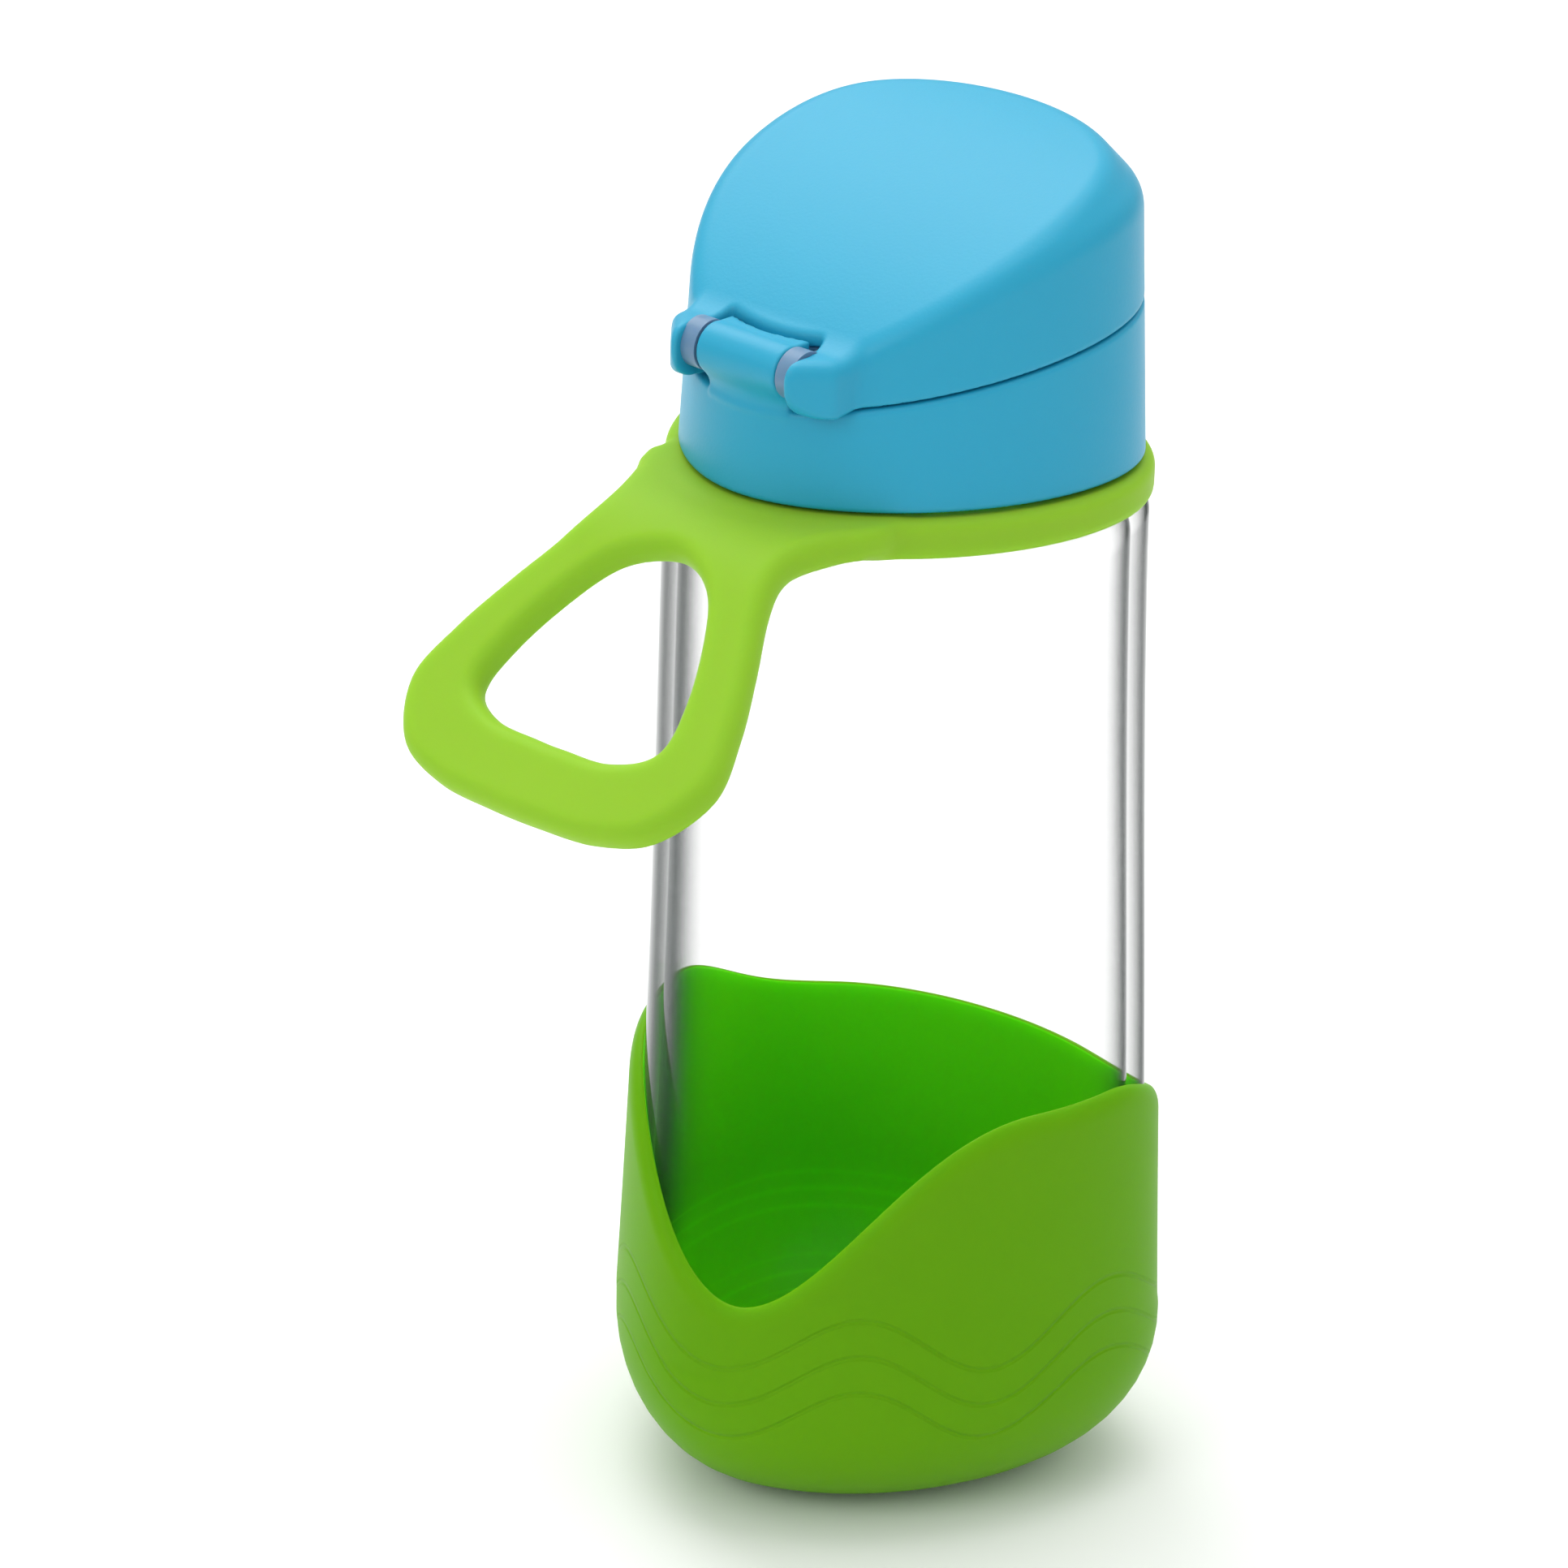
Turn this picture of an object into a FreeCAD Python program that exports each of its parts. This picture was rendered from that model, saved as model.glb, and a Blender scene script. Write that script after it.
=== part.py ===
"""Child's sport bottle: clear rounded-triangle body in a soft boot, neck strap with a carry
loop, screw collar, and a wedge-shaped flip lid on a five-knuckle hinge.

Frame: +Z up, origin at the centre of the base, the hinge and the carry loop towards -Y.
Lengths are in millimetres.
"""
import FreeCAD, Part
import math
import os

V = FreeCAD.Vector
os.makedirs("parts", exist_ok=True)

# ---- body and boot -------------------------------------------------------------------------
COLLAR_Z = 152.0          # height of the collar's lower edge
BODY_R_BASE = 37.5        # mean radius of the body at the base
BODY_R_MID = 34.6         # mean radius half-way up
BODY_R_TOP = 33.0         # mean radius at the shoulder
TRI_BASE = 0.070          # how triangular the section is at the base
TRI_TOP = 0.030           # and at the shoulder
BODY_WALL = 2.4           # side wall of the body
BODY_FLOOR = 4.0          # floor of the body
BODY_ROUND = 22.0         # rounding of the body's bottom edge
SHOULDER_DROP = 6.7       # shoulder below the collar's lower edge
SHOULDER_ROUND = 2.0      # rounding of the shoulder's edge

BOOT_WALL = 2.0           # side wall of the boot
BOOT_FLOOR = 2.2          # floor of the boot
RIM_FRONT = 35.5          # height of the boot's rim in the front dip
RIM_SIDE = 63.0           # at the sides
RIM_BACK = 53.0           # at the back
RIM_DIP = 33.0            # half the width of the front dip
RIM_BACK_DIP = 30.0       # how far back the rim takes to fall to its height there
RIM_TURN = 12.0           # the dip sits this far round from the hinge, degrees

# ---- neck and screw thread -----------------------------------------------------------------
NECK_BORE_R = 24.0        # mouth
NECK_WALL = 2.6
NECK_RISE = 10.4          # top of the neck above the collar's lower edge
PITCH = 4.0               # thread pitch
TURNS = 1.5               # thread length
TOOTH = 1.2               # thread height
TOOTH_ROOT = 2.2          # axial width of a tooth at its root
TOOTH_CREST = 1.0         # and at its crest
THREAD_GAP = 0.4          # radial clearance between the threads
THREAD_Z = 2.6            # start of the neck thread above the collar's lower edge

# ---- strap ---------------------------------------------------------------------------------
STRAP_PROUD = 1.6         # ring stands proud of the collar
STRAP_TRI = 0.040
STRAP_GAP = 0.4           # clearance of the ring all round
RING_ROUND = 2.0          # how much the ring's edges are rounded
STRAP_THICK = 5.2         # thickness of the web and the loop
WEB_SLOPE = 8.0           # web leaves the ring this much below the horizontal, degrees
LOOP_SLOPE = 42.0         # loop hangs this much below the horizontal
LOOP_REACH = 51.4         # ring to the far side of the grip bar, along the strap
LOOP_HALF = 27.0          # half the width of the loop
LOOP_WEB_HALF = 16.2      # half the width of the web at its narrowest
LOOP_BAR = 10.9           # width of the grip bar
FLEX_U = 7.0              # where the web bends, measured from the ring
FLEX_GAP = 0.6

# ---- collar --------------------------------------------------------------------------------
COLLAR_R = 31.6           # mean radius at the lower edge
COLLAR_TRI = 0.050
DRAFT = 0.05              # the collar and the lid taper upwards by this much per millimetre
COLLAR_WALL = 1.9
DECK_T = 2.0              # deck that closes the neck
GASKET_T = 1.2
GASKET_GAP = 0.2
SEAM_MID = 19.3           # seam between the collar and the lid, above the collar's lower edge
SEAM_RISE = 0.165         # slope of the seam away from the hinge
SEAM_SAG = 0.0012
SEAM_GAP = 0.35

# ---- hinge ---------------------------------------------------------------------------------
HINGE_Y = -30.6
HINGE_RISE = 18.4         # hinge axis above the collar's lower edge
BARREL_R = 3.5
BARREL_HALF = 7.0         # half the length of the collar's barrel
LINER_KNUCKLE = 2.6       # width of a liner knuckle
EAR_W = 3.9               # width of a lid ear
KNUCKLE_GAP = 0.3
PIN_R = 1.0
PIN_GAP = 0.05

# ---- lid -----------------------------------------------------------------------------------
LID_NOTCH_Z = 22.6        # lid's top beside the notch
LID_MID_Z = 37.5          # over the axis of the bottle
LID_FAR_Z = 44.0          # near the far edge
LID_WALL = 2.0
LINER_WALL = 1.2
NOTCH_Y = -25.5           # far corners of the notch
NOTCH_BULGE = 1.1         # its far edge bows towards the barrel
NOTCH_HALF = 8.7
CHEEK_X = 23.0            # crease between a cheek and the lid's wall
CHEEK_Y = -21.5
CHEEK_END = V(27.0, -11.3, 0)  # where the cheek dies into the wall
LIP_HALF = 8.0            # half the width of the thumb lip
LIP_OUT = 1.6             # how far the thumb lip stands out

# ---- spout and vent ------------------------------------------------------------------------
SPOUT_Y = 8.0
SPOUT_BASE_R = 9.0
SPOUT_TOP = 31.0          # tip of the spout above the collar's lower edge
SPOUT_BORE_R = 3.2
VENT_Y = -15.0
VENT_R = 2.2
SEAL_GAP = 0.25
SEAL_T = 1.6

# ---- worked out from the values above -------------------------------------------------------
NECK_R = NECK_BORE_R + NECK_WALL
NECK_CREST_R = NECK_R + TOOTH
COLLAR_ROOT_R = NECK_CREST_R + THREAD_GAP
COLLAR_CREST_R = NECK_R + THREAD_GAP
SHOULDER_Z = COLLAR_Z - SHOULDER_DROP
GASKET_Z = COLLAR_Z + NECK_RISE + GASKET_GAP
DECK_Z = GASKET_Z + GASKET_T + GASKET_GAP
DECK_TOP = DECK_Z + DECK_T
HINGE_Z = COLLAR_Z + HINGE_RISE
HINGE = V(0, HINGE_Y, HINGE_Z)
LINER_X = BARREL_HALF + KNUCKLE_GAP
EAR_X = LINER_X + LINER_KNUCKLE + KNUCKLE_GAP
EAR_END = EAR_X + EAR_W
SPOUT_TIP = COLLAR_Z + SPOUT_TOP
X_AXIS = V(1, 0, 0)
UP = V(0, 0, 1)


def smooth(t):
    """Ease from 0 to 1."""
    t = min(max(t, 0.0), 1.0)
    return t * t * (3 - 2 * t)


def tri_point(r, k, psi, off=0.0):
    """Point of a rounded triangle of constant width; psi is the angle of its normal from -Y."""
    h = r * (1 + k * math.cos(3 * psi)) + off
    dh = -3 * r * k * math.sin(3 * psi)
    return V(h * math.sin(psi) + dh * math.cos(psi), -h * math.cos(psi) + dh * math.sin(psi), 0)


def closed_wire(points):
    curve = Part.BSplineCurve()
    curve.interpolate(Points=points, PeriodicFlag=True)
    return Part.Wire(curve.toShape())


def tri_wire(r, k, z, off=0.0, count=36):
    """Closed rounded-triangle wire. off and z may be functions, of psi and of the point."""
    points = []
    for i in range(count):
        psi = 2 * math.pi * i / count
        p = tri_point(r, k, psi, off(psi) if callable(off) else off)
        p.z = z(p) if callable(z) else z
        points.append(p)
    return closed_wire(points)


def cyl(r, z0, z1, x=0.0, y=0.0):
    return Part.makeCylinder(r, z1 - z0, V(x, y, z0))


def bar(r, x0, x1, centre=HINGE):
    """Round bar along X."""
    return Part.makeCylinder(r, x1 - x0, V(x0, centre.y, centre.z), X_AXIS)


def box(x0, x1, y0, y1, z0, z1):
    return Part.makeBox(x1 - x0, y1 - y0, z1 - z0, V(x0, y0, z0))


def prism_x(points, half):
    """Prism along X over a closed outline in the YZ plane."""
    wire = Part.makePolygon([V(-half, y, z) for y, z in points + points[:1]])
    return Part.Face(wire).extrude(V(2 * half, 0, 0))


def export(shape, name):
    shape = shape.removeSplitter()
    if len(shape.Solids) == 1:
        shape = shape.Solids[0]
    print(name, len(shape.Solids), "solid", round(shape.Volume), "mm3", shape.isValid())
    shape.exportStep("parts/%s.step" % name)


# ---- body ------------------------------------------------------------------------------------
def body_r(z):
    """Mean radius of the body's outside at a height."""
    u = (COLLAR_Z - SHOULDER_DROP - z) / (COLLAR_Z - SHOULDER_DROP)
    return BODY_R_TOP * (1 - u) * (1 - 2 * u) + BODY_R_MID * 4 * u * (1 - u) + BODY_R_BASE * u * (2 * u - 1)


def body_k(z):
    u = (COLLAR_Z - SHOULDER_DROP - z) / (COLLAR_Z - SHOULDER_DROP)
    return TRI_TOP + (TRI_BASE - TRI_TOP) * smooth(1.6 * u)


def vessel(off, z_floor, z_top, rounding):
    """Solid with the body's outside moved out by off, with a rounded bottom edge."""
    wires = []
    for a in (90, 72, 54, 36, 18, 0):
        z = z_floor + rounding * (1 - math.sin(math.radians(a)))
        wires.append(tri_wire(body_r(z) + off - rounding * (1 - math.cos(math.radians(a))), body_k(z), z))
    steps = 6
    z_side = z_floor + rounding
    for i in range(1, steps + 1):
        z = z_side + (z_top - z_side) * i / steps
        wires.append(tri_wire(body_r(z) + off, body_k(z), z))
    return Part.makeLoft(wires, True, False)


def shouldered(off, z_floor, z_top, rounding, top_round):
    """The same, with its top edge rounded too."""
    z_side = z_top - top_round
    wires = []
    for a in (0, 30, 60, 90):
        s, c = math.sin(math.radians(a)), math.cos(math.radians(a))
        wires.append(tri_wire(body_r(z_side) + off, body_k(z_side), z_side + top_round * s, -top_round * (1 - c)))
    side = vessel(off, z_floor, z_side, rounding)
    return side, side.fuse(Part.makeLoft(wires, True, False))


def thread(r_root, r_crest, z_start, turns, start_turn):
    """Helical tooth from r_root to r_crest, sunk a little into the wall it grows from."""
    sink = 0.3 if r_crest > r_root else -0.3
    length = PITCH * turns
    helix = Part.makeHelix(PITCH, length, r_root)
    tooth = Part.makePolygon([
        V(r_root - sink, 0, -TOOTH_ROOT / 2),
        V(r_crest, 0, -TOOTH_CREST / 2),
        V(r_crest, 0, TOOTH_CREST / 2),
        V(r_root - sink, 0, TOOTH_ROOT / 2),
        V(r_root - sink, 0, -TOOTH_ROOT / 2),
    ])
    solid = Part.Wire(helix).makePipeShell([tooth], True, True)
    solid.rotate(V(0, 0, 0), UP, 360 * start_turn)
    solid.translate(V(0, 0, z_start + PITCH * start_turn))
    return solid


body_side, outer = shouldered(0, BOOT_FLOOR, SHOULDER_Z, BODY_ROUND, SHOULDER_ROUND)
neck_top = COLLAR_Z + NECK_RISE
cavity_top = SHOULDER_Z - BODY_WALL
_, cavity = shouldered(-BODY_WALL, BOOT_FLOOR + BODY_FLOOR, cavity_top, BODY_ROUND - BODY_WALL, 1.5 * SHOULDER_ROUND)
body = outer.fuse(cyl(NECK_R, SHOULDER_Z - 1, neck_top))
body = body.cut(cavity).cut(cyl(NECK_BORE_R, cavity_top - 3, neck_top + 1))
body = body.fuse(thread(NECK_R, NECK_CREST_R, COLLAR_Z + THREAD_Z, TURNS, 0.0))
export(body, "bottle_body")

# ---- boot ------------------------------------------------------------------------------------
def rim_height(p):
    """Height of the rim where it passes over p: a deep dip in front and a shallow one behind."""
    turn = math.radians(RIM_TURN)
    x = p.x * math.cos(turn) + p.y * math.sin(turn)
    y = p.y * math.cos(turn) - p.x * math.sin(turn)
    if y < 0:
        return RIM_FRONT + (RIM_SIDE - RIM_FRONT) * smooth(abs(x) / RIM_DIP)
    return RIM_SIDE - (RIM_SIDE - RIM_BACK) * smooth(y / RIM_BACK_DIP)


def rim_cutter():
    """Everything above the boot's swooping rim."""
    count = 72
    inner, outside = [], []
    for i in range(count):
        psi = 2 * math.pi * i / count
        p = tri_point(body_r(RIM_FRONT) + BOOT_WALL / 2, TRI_BASE, psi)
        z = rim_height(p)
        inner.append(V(0.5 * p.x, 0.5 * p.y, z))
        outside.append(V(1.5 * p.x, 1.5 * p.y, z))
    surface = Part.makeRuledSurface(closed_wire(inner).Edges[0], closed_wire(outside).Edges[0])
    return surface.extrude(V(0, 0, 2 * RIM_SIDE))


boot = vessel(BOOT_WALL, 0, RIM_SIDE + 8, BODY_ROUND + BOOT_WALL)
boot = boot.cut(body_side).cut(rim_cutter())
boot = max(boot.Solids, key=lambda s: s.Volume)
export(boot, "base_boot")

# ---- strap -----------------------------------------------------------------------------------
ring_r = COLLAR_R + STRAP_PROUD
ring_z0 = SHOULDER_Z + STRAP_GAP
ring_z1 = COLLAR_Z - STRAP_GAP
ring_wires = []
for a in (-90, -60, -30, 0, 30, 60, 90):
    bulge = RING_ROUND * (math.cos(math.radians(a)) - 1)
    z = (ring_z0 + ring_z1 + (ring_z1 - ring_z0) * math.sin(math.radians(a))) / 2
    ring_wires.append(tri_wire(ring_r, STRAP_TRI, z, bulge))
ring_outer = Part.makeLoft(ring_wires, True, False)
ring_bore = cyl(NECK_R + STRAP_GAP, ring_z0 - 5, ring_z1 + 5)
ring_mid = (ring_z0 + ring_z1) / 2

# the web leaves the ring nearly level; the loop lies in a steeper plane from the bend on
slope = math.radians(LOOP_SLOPE)
web_slope = math.radians(WEB_SLOPE)
loop_y = -ring_r * (1 + STRAP_TRI)
ALONG = V(0, -math.cos(slope), -math.sin(slope))
NORMAL = V(0, -math.sin(slope), math.cos(slope))
WEB_ALONG = V(0, -math.cos(web_slope), -math.sin(web_slope))
WEB_NORMAL = V(0, -math.sin(web_slope), math.cos(web_slope))
FLEX = V(0, loop_y, ring_mid) + WEB_ALONG * FLEX_U


def loop_point(u, w, n=0.0):
    return FLEX + V(w, 0, 0) + ALONG * (u - FLEX_U) + NORMAL * n


def web_point(u, w, n=0.0):
    return FLEX + V(w, 0, 0) + WEB_ALONG * (u - FLEX_U) + WEB_NORMAL * n


def mirrored(points):
    return points + [(u, -w) for u, w in reversed(points)]


def loop_slab(points, thick=STRAP_THICK):
    """Slab over an outline in the loop's plane, mirrored about the middle."""
    lower = [loop_point(u, w, -thick / 2) for u, w in mirrored(points)]
    return Part.Face(closed_wire(lower)).extrude(NORMAL * thick)


web = LOOP_WEB_HALF
half = LOOP_HALF
reach = LOOP_REACH
bar_in = LOOP_REACH - LOOP_BAR
side = LOOP_HALF - 10.6
loop_outline = [(-2, web + 3), (6, web), (13, web + 1), (21, half - 5.1), (30, half - 1.5), (39, half),
                (reach - 4, half - 4.8), (reach - 0.7, half - 13), (reach, half - 22.5)]
opening = [(10.2, 2.5), (13.7, side - 8), (20.2, side - 3.9), (29.2, side - 0.5), (bar_in - 4, side),
           (bar_in - 0.5, side - 6), (bar_in, 2.5)]
loop = loop_slab(loop_outline)
loop = loop.cut(loop_slab(opening, 3 * STRAP_THICK))

# the web bends about a line across its narrowest part
flex_bar = bar(STRAP_THICK / 2, -web, web, FLEX)
flex_seat = bar(STRAP_THICK / 2 + FLEX_GAP, -2 * web, 2 * web, FLEX)
edge = [loop_point(u, -40, n) for u, n in ((-60, -60), (FLEX_U, -60), (FLEX_U, 60), (-60, 60))]
inboard = Part.Face(Part.makePolygon(edge + edge[:1])).extrude(V(80, 0, 0))
web_outline = mirrored([(-12, web + 9.5), (-2, web + 3.2), (4, web + 0.4), (FLEX_U, web)])
lower = [web_point(u, w, -STRAP_THICK / 2) for u, w in web_outline]
root = Part.Face(Part.makePolygon(lower + lower[:1])).extrude(WEB_NORMAL * STRAP_THICK)
shoulder_room = vessel(STRAP_GAP + 0.6, BOOT_FLOOR, SHOULDER_Z + STRAP_GAP, BODY_ROUND)
above_ring = box(-60, 60, -120, 60, ring_z1, ring_z1 + 40)
root = root.cut(flex_seat).cut(shoulder_room).cut(above_ring)
ring = ring_outer.fuse(root).cut(ring_bore)
ring = max(ring.Solids, key=lambda s: s.Volume)
export(ring, "strap_ring")
loop = loop.cut(inboard).fuse(flex_bar)
export(loop, "strap_loop")


# ---- collar ----------------------------------------------------------------------------------
def seam_height(y, lift=0.0):
    return COLLAR_Z + SEAM_MID + SEAM_RISE * y - SEAM_SAG * y * y + lift


def above_seam(lift):
    """Everything above the seam raised by lift, as a prism with an arched underside."""
    ends = (-70.0, 0.0, 70.0)
    arch = Part.Arc(*[V(-60, y, seam_height(y, lift)) for y in ends]).toShape()
    top = COLLAR_Z + 120
    left = V(-60, ends[0], seam_height(ends[0], lift))
    right = V(-60, ends[2], seam_height(ends[2], lift))
    rest = Part.makePolygon([right, V(-60, ends[2], top), V(-60, ends[0], top), left])
    return Part.Face(Part.Wire([arch] + rest.Edges)).extrude(V(120, 0, 0))


def cap_r(z):
    """Mean radius of the outside of the collar and the lid at a height."""
    return COLLAR_R - DRAFT * (z - COLLAR_Z)


def cap_prism(off, z0, z1):
    wires = [tri_wire(cap_r(z), COLLAR_TRI, z, off) for z in (z0, z1)]
    return Part.makeLoft(wires, True, True)


cap_top = COLLAR_Z + 60
ear_r = HINGE_Z - seam_height(HINGE_Y, SEAM_GAP)
collar = cap_prism(0, COLLAR_Z, cap_top).cut(above_seam(-SEAM_GAP / 2))
collar = collar.cut(cap_prism(-COLLAR_WALL, DECK_TOP, cap_top + 1))
collar = collar.cut(cyl(COLLAR_ROOT_R, COLLAR_Z - 1, DECK_Z))
# room for the liner's knuckles and the lid's ears beside the barrel
for s in (-1, 1):
    x0, x1 = sorted((s * BARREL_HALF, s * (EAR_END + 1.5)))
    collar = collar.cut(bar(ear_r + KNUCKLE_GAP, x0, x1))
barrel_seat = box(-BARREL_HALF, BARREL_HALF, HINGE_Y - 1.6, HINGE_Y + BARREL_R, DECK_Z, HINGE_Z)
flat = HINGE_Z + BARREL_R
tongue = prism_x([(HINGE_Y, HINGE_Z - 2), (HINGE_Y + 3.4, HINGE_Z - 2), (HINGE_Y + 1.7, flat), (HINGE_Y, flat)],
                 BARREL_HALF)
collar = collar.fuse([bar(BARREL_R, -BARREL_HALF, BARREL_HALF), barrel_seat, tongue])
collar = collar.cut(bar(PIN_R + PIN_GAP, -BARREL_HALF - 1, BARREL_HALF + 1))
collar = collar.cut(cyl(SPOUT_BASE_R, DECK_Z - 1, DECK_TOP + 1, y=SPOUT_Y))
collar = collar.cut(cyl(VENT_R, DECK_Z - 1, DECK_TOP + 1, y=VENT_Y))
collar = collar.fuse(thread(COLLAR_ROOT_R, COLLAR_CREST_R, COLLAR_Z + THREAD_Z - PITCH / 2, TURNS, 0.4))
export(collar, "screw_collar")

gasket = cyl(NECK_CREST_R, GASKET_Z, GASKET_Z + GASKET_T)
gasket = gasket.cut(cyl(NECK_BORE_R, GASKET_Z - 1, DECK_Z + 1))
export(gasket, "neck_gasket")

# ---- lid -------------------------------------------------------------------------------------
# side view of the lid's top: an arc from the notch over the middle to the far edge
crown = Part.Arc(V(0, NOTCH_Y, LID_NOTCH_Z), V(0, 0, LID_MID_Z), V(0, -NOTCH_Y, LID_FAR_Z)).toShape().Curve


def crown_height(y):
    """Height of the lid's top surface."""
    return COLLAR_Z + crown.Center.z + math.sqrt(crown.Radius ** 2 - (y - crown.Center.y) ** 2)


def bevel(y):
    """Height of the bevel round the top: almost nothing at the ears, full at the far edge."""
    return 0.6 + 7.0 * smooth((y - NOTCH_Y) / 62.0)


def lid_block(off):
    """Solid of the lid's outside moved in by off, closed over the top."""
    r = cap_r(COLLAR_Z + 33)

    def inset(psi):
        return -off - 0.65 * bevel(tri_point(r, COLLAR_TRI, psi).y)

    wires = [tri_wire(cap_r(COLLAR_Z), COLLAR_TRI, COLLAR_Z + 4, -off)]
    wires.append(tri_wire(r, COLLAR_TRI, lambda p: crown_height(p.y) - bevel(p.y) - off, -off))
    wires.append(tri_wire(r, COLLAR_TRI, lambda p: crown_height(p.y) - 0.25 * bevel(p.y) - off, inset))
    for share in (0.75, 0.5, 0.25):
        wires.append(tri_wire(share * r, COLLAR_TRI, lambda p: crown_height(p.y) - off))
    wires.append(tri_wire(0.05 * r, 0.0, crown_height(0) - off))
    return Part.makeLoft(wires, True, True)


def notch(grow):
    """Plan of the notch round the hinge, widened by grow."""
    y = NOTCH_Y + grow
    corner = NOTCH_HALF + grow
    foot = EAR_X + grow
    arc = Part.Arc(V(-corner, y, 0), V(0, y - NOTCH_BULGE, 0), V(corner, y, 0)).toShape()
    rest = Part.makePolygon([V(corner, y, 0), V(foot, HINGE_Y, 0), V(foot, -60, 0),
                             V(-foot, -60, 0), V(-foot, HINGE_Y, 0), V(-corner, y, 0)])
    face = Part.Face(Part.Wire([arc] + rest.Edges))
    face.translate(V(0, 0, COLLAR_Z))
    return face.extrude(V(0, 0, 60))


ear_mid = (EAR_X + EAR_END) / 2
behind = box(-60, 60, -60, HINGE_Y, COLLAR_Z, COLLAR_Z + 60).cut(bar(ear_r, -60, 60))
below_seam = box(-60, 60, -60, 60, COLLAR_Z - 1, COLLAR_Z + 60).cut(above_seam(SEAM_GAP / 2))
ears = []
for s in (-1, 1):
    ears.append(bar(ear_r, s * ear_mid - EAR_W / 2, s * ear_mid + EAR_W / 2))
    # flat cheek from the side of the lid to the end of the ear
    cheek = [V(s * x, y, 0) for x, y in ((EAR_X - 1, NOTCH_Y + 8), (EAR_X - 1, HINGE_Y - ear_r),
                                         (EAR_END, HINGE_Y - ear_r), (EAR_END + 0.6, HINGE_Y), (CHEEK_X, CHEEK_Y),
                                         (CHEEK_END.x, CHEEK_END.y), (CHEEK_END.x - 2, CHEEK_END.y))]
    face = Part.Face(Part.makePolygon(cheek + cheek[:1]))
    face.translate(V(0, 0, COLLAR_Z))
    cheek = face.extrude(V(0, 0, HINGE_RISE + ear_r)).cut(below_seam).cut(behind)
    ears.append(cheek.cut(cap_prism(-LID_WALL, COLLAR_Z, cap_top).common(box(-60, 60, NOTCH_Y + 3, 60, 0, 300))))
lip_y = cap_r(COLLAR_Z + SEAM_MID) * (1 - COLLAR_TRI)
lip_z = seam_height(lip_y, SEAM_GAP)
lip = cyl(LIP_HALF, lip_z, lip_z + 3.0, y=lip_y + LIP_OUT - LIP_HALF)
lip = lip.cut(cap_prism(-LID_WALL, COLLAR_Z, cap_top))
lid = lid_block(0).cut(lid_block(LID_WALL)).cut(below_seam).cut(behind)
lid = lid.fuse(ears + [lip]).cut(notch(0))
lid = lid.cut(bar(PIN_R, -EAR_END + 1.2, EAR_END - 1.2))
lid = max(lid.Solids, key=lambda s: s.Volume)
export(lid, "flip_lid")

# the liner fills the inside of the lid and reaches a little below the seam
liner_in = LID_WALL + LINER_WALL
liner = lid_block(LID_WALL).cut(lid_block(liner_in)).cut(below_seam)
skirt = cap_prism(-COLLAR_WALL - SEAM_GAP, COLLAR_Z, cap_top).cut(cap_prism(-liner_in - SEAM_GAP, COLLAR_Z - 1, cap_top + 1))
skirt = skirt.common(above_seam(-1.2)).cut(above_seam(1.5)).cut(box(-60, 60, -60, 60, COLLAR_Z - 1, DECK_TOP + 0.8))
skirt = skirt.cut(box(-60, 60, -60, HINGE_Y + 8, COLLAR_Z - 1, cap_top))
liner = liner.fuse(skirt).cut(behind).cut(notch(0.4))
for ear in ears:
    liner = liner.cut(ear)
knuckle_mid = LINER_X + LINER_KNUCKLE / 2
for s in (-1, 1):
    x0 = s * knuckle_mid - LINER_KNUCKLE / 2
    arm = box(x0, x0 + LINER_KNUCKLE, HINGE_Y, NOTCH_Y + 3.5, HINGE_Z - 1.5, HINGE_Z + 2.0)
    liner = liner.fuse([bar(BARREL_R, x0, x0 + LINER_KNUCKLE), arm])
liner = liner.cut(bar(PIN_R + PIN_GAP, -EAR_END, EAR_END))
boss_top = crown_height(SPOUT_Y) - liner_in + 0.3
boss = cyl(6.0, SPOUT_TIP + SEAL_GAP + SEAL_T, boss_top, y=SPOUT_Y)
liner = liner.fuse(boss)
liner = max(liner.Solids, key=lambda s: s.Volume)
export(liner, "lid_liner")

pin = bar(PIN_R, -EAR_END + 1.4, EAR_END - 1.4)
export(pin, "hinge_pin")

# ---- spout, seal and vent --------------------------------------------------------------------
def oval(a, b, z):
    pts = [V(a * math.cos(t), SPOUT_Y + b * math.sin(t), z) for t in (2 * math.pi * i / 24 for i in range(24))]
    return closed_wire(pts)


flange_r = SPOUT_BASE_R + 1.8
spout = cyl(flange_r, DECK_Z - 1.4, DECK_Z, y=SPOUT_Y).fuse(cyl(SPOUT_BASE_R, DECK_Z - 1.4, DECK_TOP + 0.5, y=SPOUT_Y))
spout = spout.fuse(cyl(flange_r, DECK_TOP, DECK_TOP + 1.4, y=SPOUT_Y))
neck_part = Part.makeLoft([oval(8.6, 8.6, DECK_TOP + 1.2), oval(7.6, 6.6, DECK_TOP + 7), oval(7.6, 5.6, SPOUT_TIP - 5),
                           oval(7.8, 5.4, SPOUT_TIP - 2), oval(6.6, 4.4, SPOUT_TIP)], True, False)
spout = spout.fuse(neck_part).cut(cyl(SPOUT_BORE_R, DECK_Z - 3, SPOUT_TIP + 2, y=SPOUT_Y))
wide = Part.makeCone(SPOUT_BASE_R - 2.0, SPOUT_BORE_R, 9.0, V(0, SPOUT_Y, DECK_Z - 1.4))
spout = spout.cut(wide)
export(spout, "spout")

seal = cyl(5.6, SPOUT_TIP + SEAL_GAP, SPOUT_TIP + SEAL_GAP + SEAL_T, y=SPOUT_Y)
export(seal, "lid_seal")

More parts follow.
